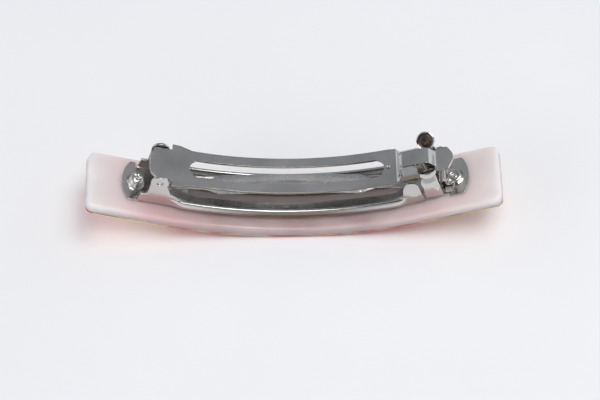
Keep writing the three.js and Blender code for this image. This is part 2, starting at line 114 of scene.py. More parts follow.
def rounded(corners, radius=0.0, closed=True):
    """A polyline with rounded corners. A corner is (a, b) or (a, b, its own radius)."""
    points = []
    count = len(corners)
    for i, corner in enumerate(corners):
        here = Vector(corner[:2])
        want = corner[2] if len(corner) > 2 else radius
        inside = closed or 0 < i < count - 1
        if not inside or want <= 0:
            points.append(tuple(here))
            continue
        to_last = Vector(corners[i - 1][:2]) - here
        to_next = Vector(corners[(i + 1) % count][:2]) - here
        half = to_last.angle(to_next) / 2
        if half > math.radians(88):
            points.append(tuple(here))
            continue
        reach = min(want / math.tan(half), to_last.length * 0.48, to_next.length * 0.48)
        start = here + to_last.normalized() * reach
        end = here + to_next.normalized() * reach
        pieces = max(2, math.ceil((math.pi - 2 * half) / math.radians(18)))
        for k in range(pieces + 1):
            t = k / pieces
            points.append(tuple(start.lerp(here, t).lerp(here.lerp(end, t), t)))
    return points


def arc(centre, radius, start, end, count=12):
    """Points along an arc, angles in degrees."""
    angles = [math.radians(start + (end - start) * k / count) for k in range(count + 1)]
    return [(centre[0] + radius * math.cos(a), centre[1] + radius * math.sin(a)) for a in angles]


def stadium(first, last, half):
    """A slot's outline, with round ends."""
    return arc((last - half, 0.0), half, -90, 90, 14) + arc((first + half, 0.0), half, 90, 270, 14)


def circle(s, y, radius, count=32):
    return arc((s, y), radius, 0, 360, count)[:-1]


def mirrored(half):
    """A closed outline from the half of it on the +y side, listed from the hinge end."""
    lower = [(p[0], -p[1]) + tuple(p[2:]) for p in half]
    return lower + list(reversed(half))


class Path:
    """A cross-section's middle line: gives the point and the normal at a length along it."""

    def __init__(self, corners, radius):
        self.points = [Vector(p) for p in rounded(corners, radius, closed=False)]
        self.at = [0.0]
        for a, b in zip(self.points, self.points[1:]):
            self.at.append(self.at[-1] + (b - a).length)
        self.length = self.at[-1]

    def heading(self, k):
        before = self.points[max(k - 1, 0)]
        after = self.points[min(k + 1, len(self.points) - 1)]
        return (after - before).normalized()

    def place(self, u, lift):
        """The point at length u, lifted off the line to its left."""
        k = 0
        while k < len(self.points) - 2 and self.at[k + 1] < u:
            k += 1
        share = (u - self.at[k]) / (self.at[k + 1] - self.at[k])
        point = self.points[k].lerp(self.points[k + 1], share)
        heading = self.heading(k).lerp(self.heading(k + 1), within_one(share)).normalized()
        return point + Vector((-heading.y, heading.x)) * lift

    def reach(self, height):
        """The length at which the path first passes a height."""
        for k, point in enumerate(self.points[1:]):
            if point.y >= height > self.points[k].y:
                share = (height - self.points[k].y) / (point.y - self.points[k].y)
                return self.at[k] + share * (self.at[k + 1] - self.at[k])
        return self.length


def height_along(line, s, ease=0.3):
    """The height of a polyline at s, with its corners eased."""
    total = 0.0
    samples = (-1.0, -0.6, -0.2, 0.2, 0.6, 1.0)
    for share in samples:
        place = s + share * ease
        k = 0
        while k < len(line) - 2 and line[k + 1][0] < place:
            k += 1
        (s0, h0), (s1, h1) = line[k], line[k + 1]
        t = within_one((place - s0) / (s1 - s0))
        total += h0 + (h1 - h0) * t
    return total / len(samples)


# ---------------------------------------------------------------- flat sheets, slabs and turned shapes


def signed_area(loop):
    return sum(a[0] * b[1] - b[0] * a[1] for a, b in zip(loop, loop[1:] + loop[:1])) / 2


def flat_sheet(outline, holes=(), thick=SHEET, edge=0.07, edge_steps=2):
    """A flat sheet in the (s, y) plane, centred on h = 0, with rounded edges."""
    curve = bpy.data.curves.new("outline", "CURVE")
    curve.dimensions = "2D"
    curve.fill_mode = "BOTH"
    curve.extrude = thick / 2 - edge
    curve.bevel_depth = edge
    curve.bevel_resolution = edge_steps
    curve.offset = -edge
    for number, loop in enumerate([outline, *holes]):
        wanted = 1 if number == 0 else -1
        points = loop if signed_area(loop) * wanted > 0 else list(reversed(loop))
        spline = curve.splines.new("POLY")
        spline.points.add(len(points) - 1)
        for target, (a, b) in zip(spline.points, points):
            target.co = (a, b, 0, 1)
        spline.use_cyclic_u = True
    carrier = bpy.data.objects.new("outline", curve)
    mesh = bpy.data.meshes.new_from_object(carrier)
    bm = bmesh.new()
    bm.from_mesh(mesh)
    bpy.data.objects.remove(carrier)
    bpy.data.curves.remove(curve)
    bpy.data.meshes.remove(mesh)
    bmesh.ops.remove_doubles(bm, verts=bm.verts, dist=1e-4)
    return bm


def cut_at(bm, axis, places):
    """Adds edges where the mesh crosses the given places on an axis, so that it can bend there."""
    normal = Vector((0, 0, 0))
    normal[axis] = 1
    for place in places:
        geometry = bm.verts[:] + bm.edges[:] + bm.faces[:]
        bmesh.ops.bisect_plane(bm, geom=geometry, dist=1e-5, plane_co=normal * place, plane_no=normal)


def move(bm, place):
    for vert in bm.verts:
        vert.co = place(*vert.co)


def turned(profile, s, y, sides=48, closed=True):
    """A lathe shape on an upright axis at (s, y), from (radius, h) pairs."""
    bm = bmesh.new()
    rings = []
    for radius, h in profile:
        if radius < 1e-6:
            rings.append([bm.verts.new((s, y, h))])
            continue
        angles = [2 * math.pi * k / sides for k in range(sides)]
        rings.append([bm.verts.new((s + radius * math.cos(a), y + radius * math.sin(a), h)) for a in angles])
    pairs = list(zip(rings, rings[1:]))
    if closed:
        pairs.append((rings[-1], rings[0]))
    for low, high in pairs:
        bridge(bm, low, high)
    return bm


def bridge(bm, low, high):
    """Faces between two rings; a ring of one point is a pole."""
    count = max(len(low), len(high))
    if count == 1:
        return
    for k in range(count):
        n = (k + 1) % count
        corners = [low[k % len(low)], low[n % len(low)], high[n % len(high)], high[k % len(high)]]
        unique = list(dict.fromkeys(corners))
        bm.faces.new(unique)


def slab(columns, layers, across=8):
    """A slab from columns(inset) -> [(s, half width)] and its (h, inset) layers, from bottom to top."""
    bm = bmesh.new()

    def grid(h, inset):
        rows = []
        for s, half in columns(inset):
            rows.append([bm.verts.new((s, half * (2 * j / across - 1), h)) for j in range(across + 1)])
        return rows

    def rim(rows):
        near = [row[0] for row in rows]
        far = [row[-1] for row in rows]
        return near + rows[-1][1:-1] + far[::-1] + rows[0][-2:0:-1]

    def ring(h, inset):
        cols = columns(inset)
        fractions = [2 * j / across - 1 for j in range(1, across)]
        near = [(s, -half) for s, half in cols]
        right = [(cols[-1][0], cols[-1][1] * f) for f in fractions]
        left = [(cols[0][0], cols[0][1] * f) for f in reversed(fractions)]
        points = near + right + [(s, half) for s, half in reversed(cols)] + left
        return [bm.verts.new((s, y, h)) for s, y in points]

    bottom = grid(*layers[0])
    top = grid(*layers[-1])
    for rows in (bottom, top):
        for one, two in zip(rows, rows[1:]):
            for j in range(across):
                bm.faces.new([one[j], two[j], two[j + 1], one[j + 1]])
    rings = [rim(bottom)] + [ring(*layer) for layer in layers[1:-1]] + [rim(top)]
    for low, high in zip(rings, rings[1:]):
        bridge(bm, low, high)
    return bm


def add_piece(name, bm, material, slot, body="root", replaced=(), sharp=35):
    """Makes the mesh an object that rides on a CAD body and may stand for CAD nodes."""
    bmesh.ops.recalc_face_normals(bm, faces=bm.faces)
    mesh = bpy.data.meshes.new(name)
    bm.to_mesh(mesh)
    bm.free()
    mesh.shade_smooth()
    mesh.set_sharp_from_angle(angle=math.radians(sharp))
    mesh.materials.append(material)
    piece = bpy.data.objects.new(name, mesh)
    bpy.context.scene.collection.objects.link(piece)
    weights = piece.modifiers.new("even shading", "WEIGHTED_NORMAL")
    weights.keep_sharp = True
    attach(piece, body)
    if replaced:
        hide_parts(*replaced)
    return piece


def joined(parts):
    """One mesh from several."""
    whole = bmesh.new()
    for part in parts:
        mesh = bpy.data.meshes.new("part")
        part.to_mesh(mesh)
        part.free()
        whole.from_mesh(mesh)
        bpy.data.meshes.remove(mesh)
    return whole


# ---------------------------------------------------------------- materials


class Shader:
    """A small helper around one material's node tree."""

    def __init__(self, name):
        self.material = bpy.data.materials.new(name)
        self.material.use_nodes = True
        self.nodes = self.material.node_tree.nodes
        self.links = self.material.node_tree.links
        self.surface = self.nodes["Principled BSDF"]
        self.position = self.nodes.new("ShaderNodeTexCoord").outputs["Object"]

    def set(self, **values):
        for name, value in values.items():
            self.surface.inputs[name.replace("_", " ")].default_value = value

    def link(self, output, name):
        self.links.new(output, self.surface.inputs[name])

    def noise(self, scale, detail=3.0, stretch=(1, 1, 1), distortion=0.0, roughness=0.5):
        mapping = self.nodes.new("ShaderNodeMapping")
        mapping.inputs["Scale"].default_value = stretch
        self.links.new(self.position, mapping.inputs["Vector"])
        texture = self.nodes.new("ShaderNodeTexNoise")
        texture.inputs["Scale"].default_value = scale
        texture.inputs["Detail"].default_value = detail
        texture.inputs["Roughness"].default_value = roughness
        texture.inputs["Distortion"].default_value = distortion
        self.links.new(mapping.outputs["Vector"], texture.inputs["Vector"])
        return texture.outputs["Fac"]

    def ramp(self, value, stops):
        node = self.nodes.new("ShaderNodeValToRGB")
        elements = node.color_ramp.elements
        while len(elements) < len(stops):
            elements.new(0.5)
        for element, (place, colour) in zip(elements, stops):
            element.position = place
            element.color = (*colour, 1)
        self.links.new(value, node.inputs["Fac"])
        return node.outputs["Color"]

    def mix(self, share, one, two):
        node = self.nodes.new("ShaderNodeMix")
        node.data_type = "RGBA"
        for value, key in ((share, "Factor"), (one, "A"), (two, "B")):
            socket = node.inputs[key]
            if isinstance(value, bpy.types.NodeSocket):
                self.links.new(value, socket)
            elif isinstance(value, tuple):
                socket.default_value = (*value, 1)
            else:
                socket.default_value = value
        return node.outputs["Result"]

    def spread(self, value, low, high, from_low=0.3, from_high=0.7):
        """Maps the value's range onto low to high. The default range is what most of a noise fills."""
        node = self.nodes.new("ShaderNodeMapRange")
        node.inputs["From Min"].default_value = from_low
        node.inputs["From Max"].default_value = from_high
        node.inputs["To Min"].default_value = low
        node.inputs["To Max"].default_value = high
        self.links.new(value, node.inputs["Value"])
        return node.outputs["Result"]

    def maths(self, operation, one, two=None):
        node = self.nodes.new("ShaderNodeMath")
        node.operation = operation
        for value, socket in zip((one, two), node.inputs):
            if isinstance(value, bpy.types.NodeSocket):
                self.links.new(value, socket)
            elif value is not None:
                socket.default_value = value
        return node.outputs["Value"]

    def bump(self, height, strength, distance):
        node = self.nodes.new("ShaderNodeBump")
        node.inputs["Strength"].default_value = strength
        node.inputs["Distance"].default_value = distance
        self.links.new(height, node.inputs["Height"])
        before = self.surface.inputs["Normal"].links
        if before:
            self.links.new(before[0].from_socket, node.inputs["Normal"])
        self.link(node.outputs["Normal"], "Normal")

    def axis(self, index):
        node = self.nodes.new("ShaderNodeSeparateXYZ")
        self.links.new(self.position, node.inputs["Vector"])
        return node.outputs[index]


def plated_metal(name, light, dark, rough, grain, edges=None, shade_reach=1.0):
    """Nickel plate: mottled tone, drawn-out roughness, fine rolling lines, and a few scuffs.

    With edges, faces that look sideways take that darker tone, which is painted shade, as far out as the
    reach given, in metres.
    """
    shader = Shader(name)
    shader.set(Metallic=1.0)
    mottle = shader.noise(90, 4, distortion=0.4)
    colour = shader.mix(shader.spread(mottle, 0, 1), dark, light)
    # Painted shade: faces that look sideways are darkened, out to the reach given along the bar.
    if edges:
        coordinates = shader.position.node.outputs["Normal"]
        parts = shader.nodes.new("ShaderNodeSeparateXYZ")
        shader.links.new(coordinates, parts.inputs["Vector"])
        sideways = shader.maths("ABSOLUTE", parts.outputs["Y"])
        along = shader.maths("ABSOLUTE", shader.axis(0))
        within = shader.spread(along, 1.0, 0.0, shade_reach * 0.3, shade_reach)
        share = shader.maths("MULTIPLY", shader.spread(sideways, 0.0, 1.0, 0.7, 0.9), within)
        colour = shader.mix(share, colour, edges)
    shader.link(colour, "Base Color")
    streaks = shader.noise(220, 3, stretch=(1, 9, 9))
    smudges = shader.noise(140, 5)
    even = shader.spread(smudges, rough * 0.7, rough * 1.35)
    scuffs = shader.spread(shader.noise(420, 6, roughness=0.7), 0.0, 0.22, 0.62, 0.78)
    lines = shader.spread(streaks, -0.03, 0.04)
    shader.link(shader.maths("ADD", shader.maths("ADD", even, lines), scuffs), "Roughness")
    shader.bump(shader.noise(160, 3), grain, 0.00006)
    shader.bump(shader.noise(900, 4, stretch=(0.4, 3, 3)), grain * 0.6, 0.00001)
    return shader.material


def milky_acetate():
    """Milky pink acetate: pinker beside the clip's ends, whiter at the bar's ends, with pale clouds. The
    lighter, pinker strip under the clip is painted bounce light in the clip's shade.
    """
    shader = Shader("pink_acetate")
    along = shader.maths("ABSOLUTE", shader.axis(0))
    # Painted light: where the acetate lies in the clip's shade it is made lighter and pinker, standing in
    # for warm light bounced off the metal.
    across = shader.spread(shader.maths("ABSOLUTE", shader.axis(1)), 1.0, 0.0, 0.002, 0.0045)
    across = shader.maths("MULTIPLY", across, shader.spread(along, 1.0, 0.0, 0.027, 0.036))
    tint = shader.ramp(shader.maths("MULTIPLY", along, 20.0), [
        (0.0, (0.47, 0.345, 0.34)), (0.35, (0.48, 0.35, 0.345)), (0.66, (0.70, 0.45, 0.45)),
        (0.80, (0.91, 0.65, 0.64)), (0.95, (0.97, 0.81, 0.80)),
    ])
    tint = shader.mix(across, tint, (0.93, 0.60, 0.54))
    clouds = shader.spread(shader.noise(38, 3, stretch=(1, 1.6, 1.6), distortion=0.8), 0.0, 0.55, 0.42, 0.72)
    shader.link(shader.mix(clouds, tint, (0.72, 0.64, 0.62)), "Base Color")
    shader.set(Subsurface_Weight=0.85, Subsurface_Scale=0.006, IOR=1.48)
    shader.surface.inputs["Subsurface Radius"].default_value = (1.0, 0.7, 0.65)
    shader.link(shader.spread(shader.noise(60, 5), 0.1, 0.24), "Roughness")
    shader.bump(shader.noise(70, 2), 0.12, 0.0001)
    shader.bump(shader.noise(1500, 5, roughness=0.7), 0.04, 0.000004)
    return shader.material


def swirled_acetate():
    """The decorated front: abstract red and coral swirls with olive and cream patches."""
    shader = Shader("patterned_acetate")
    swirl = shader.noise(55, 4, stretch=(1, 1.7, 1.7), distortion=2.2)
    reds = shader.ramp(swirl, [
        (0.30, (0.42, 0.03, 0.03)), (0.45, (0.68, 0.10, 0.07)), (0.54, (0.80, 0.28, 0.16)),
        (0.62, (0.84, 0.50, 0.30)), (0.72, (0.86, 0.74, 0.60)),
    ])
    place = shader.spread(shader.axis(0), 0.0, 1.0, -0.048, 0.048)
    olive_zone = shader.ramp(place, [
        (0.0, (0, 0, 0)), (0.08, (0.9,) * 3), (0.18, (0.8,) * 3), (0.24, (0.1,) * 3), (0.31, (0.9,) * 3),
        (0.38, (0.7,) * 3), (0.46, (0, 0, 0)), (0.78, (0.05,) * 3), (0.86, (1, 1, 1)), (0.95, (0.9,) * 3),
        (1.0, (0.2,) * 3),
    ])
    olives = shader.ramp(shader.noise(80, 4, distortion=1.5), [
        (0.35, (0.20, 0.19, 0.04)), (0.50, (0.45, 0.42, 0.12)), (0.65, (0.72, 0.68, 0.36)),
    ])
    islands = shader.spread(shader.noise(70, 3, distortion=1.2), 0.0, 1.0, 0.44, 0.56)
    shader.link(shader.mix(shader.maths("MULTIPLY", olive_zone, islands), reds, olives), "Base Color")
    shader.set(Subsurface_Weight=0.7, Subsurface_Scale=0.004, IOR=1.48, Coat_Weight=0.4, Coat_Roughness=0.08)
    shader.link(shader.spread(shader.noise(90, 4), 0.12, 0.28), "Roughness")
    shader.bump(shader.noise(60, 2), 0.1, 0.00008)
    return shader.material


def glow_through_bar(shader):
    """The pink light that the bar's raised ends would let through, painted on the cloth under them."""
    along = shader.maths("ABSOLUTE", shader.axis(0))
    rising = shader.spread(along, 0.0, 1.0, 0.012, 0.040)
    fading = shader.spread(along, 1.0, 0.0, 0.045, 0.055)
    aside = shader.maths("ABSOLUTE", shader.maths("ADD", shader.axis(1), 0.001))
    across = shader.spread(aside, 1.0, 0.0, 0.005, 0.0115)
    share = shader.maths("MULTIPLY", shader.maths("MULTIPLY", rising, fading), across)
    share = shader.maths("MULTIPLY", share, shader.spread(shader.axis(0), 1.0, 0.5, -0.02, 0.02))
    return shader.ramp(share, [(0.0, (0, 0, 0)), (0.5, (0.07, 0.04, 0.045)), (1.0, (0.26, 0.17, 0.185))])


THREADS = 6500.0  # radians of weave per metre


def cloth():
    """The pale backdrop cloth, with a fine plain weave."""
    shader = Shader("backdrop_cloth")
    shader.set(Roughness=0.95)
    shader.surface.inputs["Specular IOR Level"].default_value = 0.1
    tone = shader.spread(shader.noise(18, 3), 0.0, 1.0)
    shader.link(shader.mix(tone, (0.86, 0.86, 0.875), (0.88, 0.88, 0.893)), "Base Color")
    threads = [shader.maths("SINE", shader.maths("MULTIPLY", shader.axis(axis), THREADS)) for axis in (0, 1)]
    weave = shader.maths("MULTIPLY", *threads)
    shader.link(glow_through_bar(shader), "Emission Color")
    shader.set(Emission_Strength=1.0)
    shader.bump(weave, 0.05, 0.00002)
    shader.bump(shader.noise(30, 3), 0.2, 0.0004)
    return shader.material


# ---------------------------------------------------------------- the acetate bar


def bar_columns(inset):
    """Columns (s, half width) of the bar's plan with rounded corners, inset all round."""
    radius = BAR["corner"] - inset
    centre_s = BAR["half_length"] - BAR["corner"]
    centre_y = BAR["half_width"] - BAR["corner"]
    turn = [math.radians(90 * k / 8) for k in range(9)]
    left = [(-centre_s - radius * math.cos(a), centre_y + radius * math.sin(a)) for a in turn]
    middle = [(s, centre_y + radius) for s in steps(-centre_s, centre_s, 1.2)[1:-1]]
    right = [(-s, half) for s, half in reversed(left)]
    return left + middle + right


def rounding(h, side, radius, count=6):
    """(h, inset) layers of a rounded edge: side 1 ends at a top face, side -1 starts at a bottom face."""
    layers = []
    for k in range(count + 1):
        a = math.radians(90 * k / count)
        layers.append((h + side * (math.sin(a) - 1) * radius, (1 - math.cos(a)) * radius))
    return layers if side > 0 else layers[::-1]


def acetate_bar(acetate, swirls):
    """The thick pink backing and the thin decorated face under it."""
    front_top = -BAR["backing"] - BAR["glue"]
    back = rounding(-BAR["backing"], -1, 0.06, count=2) + rounding(0, 1, 0.75, count=8)
    front = rounding(-BAR["total"], -1, 0.42) + rounding(front_top, 1, 0.05, count=2)
    for name, layers, material, slot, node in (
        ("bar_backing", back, acetate, "acetate", "acetate_backing"),
        ("bar_face", front, swirls, "patterned_acetate", "decorated_face"),
    ):
        bm = slab(bar_columns, layers)
        move(bm, lambda s, y, h: bent(s, y, h, 0.0))
        add_piece(name, bm, material, slot, replaced=(node,), sharp=50)


# ---------------------------------------------------------------- the base plate


def base_path():
    """The plate's middle line, from its centre out over the floor and up the side wall."""
    middle = SEAT + SHEET / 2
    wall = CLIP["half"] - SHEET / 2
    return Path([(0, middle), (wall, middle), (wall, 12.0)], FOLD["radius"])


def base_outline(path, side):
    """Half of the plate's blank, as (s, length out from the centre line). The far hinge tab is wider."""
    up = path.reach
    tab = CLIP["half"]
    hinge_tab = tab + (PLATE["far_tab"] if side > 0 else 0.0)
    sweep = math.degrees(math.asin(tab / CLIP["tab_arc"]))
    hinge_sweep = math.degrees(math.asin(hinge_tab / CLIP["tab_arc"]))
    hinge_arc = arc((CLIP["hinge_end"] + CLIP["tab_arc"], 0), CLIP["tab_arc"], 180, 180 - hinge_sweep, 8)
    catch_arc = arc((CLIP["catch_end"] - CLIP["tab_arc"], 0), CLIP["tab_arc"], sweep, 0, 8)
    neck = PLATE["neck"]
    ear = [(p[0], up(p[1])) for p in arc((PIN["s"], PIN["h"]), EAR["radius"], 203, -20, 18)]
    top = FLANGE["top"]
    cheek = [
        (26.3, top, 1.2), (27.3, 6.4, 1.5), (28.9, 7.3, 0.8), (30.6, 7.2, 0.5), (31.1, 6.6, 0.4),
        (31.1, 1.0, 0.3),
    ]
    shape = rounded([
        *hinge_arc[:-1], (*hinge_arc[-1], 0.35), (-37.65, hinge_tab, 0.25), (-37.65, neck, 0.12),
        (-37.3, neck, 0.12),
        (EAR["foot"], up(EAR["foot_top"]), 0.4),
        (EAR["first"] + 0.25, up(EAR["foot_top"] + 0.15), 0.5), *ear,
        (EAR["last"], up(EAR["waist"]), 0.35), (EAR["last"] + 2.6, up(top + 0.1), 0.8),
        (EAR["last"] + 3.4, up(top), 1.2),
        *[(s, up(h), r) for s, h, r in cheek],
        (31.1, neck, 0.12), (31.3, neck, 0.1), (31.4, 4.35, 0.1), (36.85, 4.35, 0.1), (36.9, tab, 0.2),
        (*catch_arc[0], 0.5), *catch_arc[1:],
    ], closed=False)
    return shape[1:-1]


def fold_base(path):
    """Maps the plate's blank: flat tabs, and walls that stand up between them."""
    def place(s, t, n):
        side = math.copysign(1, t)
        if FOLD["first"] < s < FOLD["last"]:
            y, h = path.place(abs(t), n)
            return bent(s, side * (y + wall_bulge(s, h)), h)
        return bent(s, t, SEAT + SHEET / 2 + n)
    return place


def wall_bulge(s, h):
    """How far the side wall stands out: a rounded low wall, and a soft pillow beside the catch."""
    beside_catch = math.exp(-((s - 29.3) / 1.6) ** 2)
    pillow = 0.4 * math.exp(-((h - 3.6) / 2.4) ** 2) - 0.6 * max(0.0, (h - 3.0) / 4.0) ** 2
    along_wall = within_one((s - EAR["last"] - 1.0) / 2.5) * within_one((27.0 - s) / 1.5)
    half_round = 0.8 * math.sqrt(max(0.0, 1 - ((h - 1.65) / 1.3) ** 2)) * within_one((h - 0.5) / 0.5)
    return pillow * beside_catch + half_round * along_wall


def rivet_cone(place, foot=1.95):
    """The raised seat of a rivet: a flared cone pressed up out of the plate."""
    s, y, top = place["s"], place["y"], place["top"]
    rise = top - FLOOR_TOP
    outer = []
    for k in range(9):
        t = k / 8
        ease = t * t * (3 - 2 * t)
        outer.append((foot + 0.2 - (foot - 1.15) * t, FLOOR_TOP + 0.01 + rise * ease))
    inner = [(r - 0.3, max(h - 0.4, SEAT)) for r, h in reversed(outer)]
    bm = turned(outer + inner, s, y)
    move(bm, bent)
    return bm


def ear_dimple(side):
    """The ring pressed around the pin's end, on an ear's outer face."""
    wall = CLIP["half"]
    ring = [(0.62, -0.12), (0.68, 0.02), (0.80, 0.09), (0.95, 0.06), (1.12, -0.03), (1.12, -0.14)]
    bm = turned(ring, 0.0, 0.0, sides=40)
    move(bm, lambda a, b, lift: bent(PIN["s"] + a, side * (wall + lift), PIN["h"] + b))
    return bm


def base_plate(nickel):
    """The channel strip with its tabs, ears and low walls, the rivets' seats and the rings on the ears."""
    path = base_path()
    windows = [
        rounded([(36.0, a), (37.6, a), (37.6, b), (36.0, b)], 0.2) for a, b in ((2.5, 3.9), (-3.9, -2.5))
    ]
    seats = [circle(p["s"], p["y"], PLATE["rivet_hole"]) for p in (HINGE_RIVET, CATCH_RIVET)]
    dowels = [circle(PIN["s"], side * path.reach(PIN["h"]), PLATE["pin_hole"]) for side in (-1, 1)]
    slot = stadium(-PLATE["slot_reach"], PLATE["slot_reach"], PLATE["slot_half"])
    near = [(s, -t) for s, t in base_outline(path, -1)]
    outline = near + base_outline(path, 1)[::-1]
    bm = flat_sheet(outline, [slot, *windows, *seats, *dowels])
    cut_at(bm, 0, steps(-40, 40, 1.25) + steps(26.2, 31, 0.6) + [FOLD["first"], FOLD["last"]])
    fold_from = CLIP["half"] - SHEET / 2 - FOLD["radius"]
    turn = [fold_from + FOLD["radius"] * math.radians(90 * k / 6) for k in range(7)]
    bends = turn + steps(5.0, 7.6, 0.2) + steps(8.0, 10.4, 0.6)
    cut_at(bm, 1, [side * t for side in (-1, 1) for t in bends])
    move(bm, fold_base(path))
    parts = [bm] + [rivet_cone(place) for place in (HINGE_RIVET, CATCH_RIVET)]
    parts += [ear_dimple(side) for side in (-1, 1)]
    add_piece("base_plate_sheet", joined(parts), nickel, "nickel_sheet", replaced=("base_plate",))


# ---------------------------------------------------------------- rivets and pin


def star_rivet(bright):
    """The hinge end's rivet: a domed head with a four-armed recess left by the riveting tool."""
    s, y, top = HINGE_RIVET["s"], HINGE_RIVET["y"], HINGE_RIVET["top"]
    seat = top + 0.02
    dome = [
        (0.0, 0.72), (0.1, 0.72), (0.2, 0.72), (0.32, 0.72), (0.45, 0.71), (0.6, 0.69), (0.75, 0.66),
        (0.9, 0.62), (1.05, 0.56), (1.2, 0.48), (1.35, 0.37), (1.48, 0.24), (1.56, 0.1), (1.54, 0.0),
        (1.4, -0.04),
    ]
    profile = [(r, seat + h) for r, h in dome] + [(0.8, seat - 0.04), (0.8, -1.5), (0.0, -1.5)]
    bm = turned(profile, s, y, sides=64, closed=False)
    for vert in bm.verts:
        a, b = vert.co.x - s, vert.co.y - y
        radius = math.hypot(a, b)
        if vert.co.z < seat + 0.25 or radius > 1.1:
            continue
        arms = math.cos(2 * math.atan2(b, a) + 0.5) ** 2
        pit = 0.45 * math.exp(-(radius / 0.4) ** 2)
        vert.co.z -= pit + 0.34 * arms * math.exp(-((radius - 0.55) / 0.3) ** 2)
    move(bm, bent)
    add_piece("rivet_star_head", bm, bright, "bright_nickel", replaced=("rivet_hinge_end",), sharp=60)


def eyelet_rivet(bright):
    """The catch end's rivet: a tubular eyelet rolled outwards over the catch's tail."""
    s, y = CATCH_RIVET["s"], CATCH_RIVET["y"]
    seat = CATCH_RIVET["top"] + CATCH["thick"] + 0.05
    profile = [
        (1.55, -0.02), (1.66, 0.04), (1.69, 0.14), (1.62, 0.25), (1.5, 0.32), (1.36, 0.37), (1.2, 0.4),
        (1.06, 0.38), (0.98, 0.28), (0.93, 0.1), (0.88, 0.02), (0.82, 0.02), (0.78, 0.1), (0.74, 0.24),
        (0.66, 0.32), (0.56, 0.34), (0.46, 0.3), (0.38, 0.2), (0.32, 0.02), (0.28, -0.2), (0.24, -0.4),
        (0.0, -0.44),
    ]
    outline = [(r, seat + h) for r, h in profile]
    bm = turned([(0.0, -1.5), (0.85, -1.5), (0.85, seat)] + outline, s, y, closed=False)
    move(bm, bent)
    add_piece("rivet_eyelet", bm, bright, "bright_nickel", replaced=("rivet_catch_end",), sharp=60)


def hinge_pin(bright):
    """The pin across the ears, with domed and dimpled ends."""
    half, radius = PIN["half_length"], PIN["radius"]
    end = [
        (0.0, half - 0.22), (0.16, half - 0.2), (0.3, half - 0.08), (0.44, half - 0.04),
        (0.56, half - 0.1), (radius, half - 0.25),
    ]
    profile = [(r, -lift) for r, lift in end] + [(r, lift) for r, lift in reversed(end)]
    bm = turned(profile, 0.0, 0.0, sides=32, closed=False)
    move(bm, lambda a, b, along: bent(PIN["s"] + a, along, PIN["h"] + b))
    add_piece("hinge_pin_bar", bm, bright, "bright_nickel", replaced=("hinge_pin",))


# ---------------------------------------------------------------- the clasp arm

# The height of the arm's underside, as (s, h), from beyond its tail to beyond its lifting plate.
ARM_LINE = [
    (-50, ARM["under"]), (26.9, ARM["under"]), (27.4, 9.3), (28.1, 10.5), (28.7, ARM["tongue_top"]),
    (32.2, ARM["tongue_top"]), (34.3, 10.5), (34.9, 10.2), (36.0, 8.2), (36.4, ARM["head_under"]),
    (60, ARM["head_under"]),
]


def arm_half():
    """Half of the arm's outline on the +y side, from its tail to its lifting end."""
    tail, plate, rail, end = ARM["tail"], ARM["plate"], ARM["rail"], ARM["end"]
    shoulder_at, shoulder = ARM["shoulder_at"], ARM["shoulder"]
    front, tongue, head, head_from = ARM["frame_end"], ARM["tongue_half"], ARM["head_half"], ARM["head_from"]
    return rounded([
        (tail, 0), (tail, 1.4, 0.8), (tail + 0.25, plate - 1.5, 1.2), (tail + 1.3, plate, 1.3),
        (shoulder_at, plate, 0.25), (shoulder_at, shoulder + 0.12, 0.3),
        (shoulder_at + 1.9, shoulder + 0.03, 1.6), (shoulder_at + 3.5, shoulder - 0.4, 1.4),
        (ARM["waist_at"] + 0.3, rail + 0.03, 1.5), (-20, rail), (front - 2, rail, 1.0),
        (front + 0.3, rail - 0.3, 0.8), (front + 1.0, rail - 1.2, 0.8),
        (front + 1.5, tongue + 0.25, 0.5), (front + 2.6, tongue, 0.3), (ARM["tongue_to"] + 1.2, tongue, 0.3),
        (head_from + 0.1, head - 0.1, 0.4), (head_from + 1.2, head, 0.5),
        (head_from + 1.9, head - 0.42, 0.3), (head_from + 2.6, head - 0.4, 0.5), (end - 0.6, 1.9, 0.6),
        (end, 0.8, 0.4), (end, 0),
    ], closed=False)


def dent(s, y):
    """How far the small round dent before the tongue pulls the sheet down at (s, y)."""
    centre = DENT["centre"]
    away = ((s - centre[0]) ** 2 + (y - centre[1]) ** 2) / DENT["size"] ** 2
    return DENT["depth"] * math.exp(-away)


def raise_arm(s, y, n):
    """Lifts a flat sheet onto the arm's line, square to its slope."""
    middle = ARM["thick"] / 2
    slope = (height_along(ARM_LINE, s + 0.1) - height_along(ARM_LINE, s - 0.1)) / 0.2
    length = math.hypot(1, slope)
    h = height_along(ARM_LINE, s) + middle
    h -= dent(s, y)
    tail_droop = 0.35 * max(0.0, (-35.2 - s) / 1.5) ** 2
    return bent(s - n * slope / length, y, h - tail_droop + n / length)


def arm_lug(side):
    """The lug that hangs inside an ear, around the pin."""
    s, h, radius, top = PIN["s"], PIN["h"], LUG["radius"], LUG["top"]
    shape = arc((s, h), radius, 180, 360, 16) + [(s + radius, top), (s - radius, top)]
    bm = flat_sheet(shape, [circle(s, h, LUG["hole"])], thick=LUG["thick"], edge=0.05)
    move(bm, lambda s, h, n: bent(s, side * (LUG["y"] + n), h))
    return bm


def skirt_path():
    """Across the tongue's side: its edge, a sloped shoulder, the upright skirt and its inward lip."""
    top = ARM["tongue_top"] + ARM["thick"] / 2
    outer = SKIRT["outer"] - SKIRT["wall"] / 2
    lip = SKIRT["bottom"] + SKIRT["wall"] / 2
    return Path([(1.5, top), (2.05, top), (outer, top - 1.65), (outer, lip), (SKIRT["lip"], lip)], 0.28)


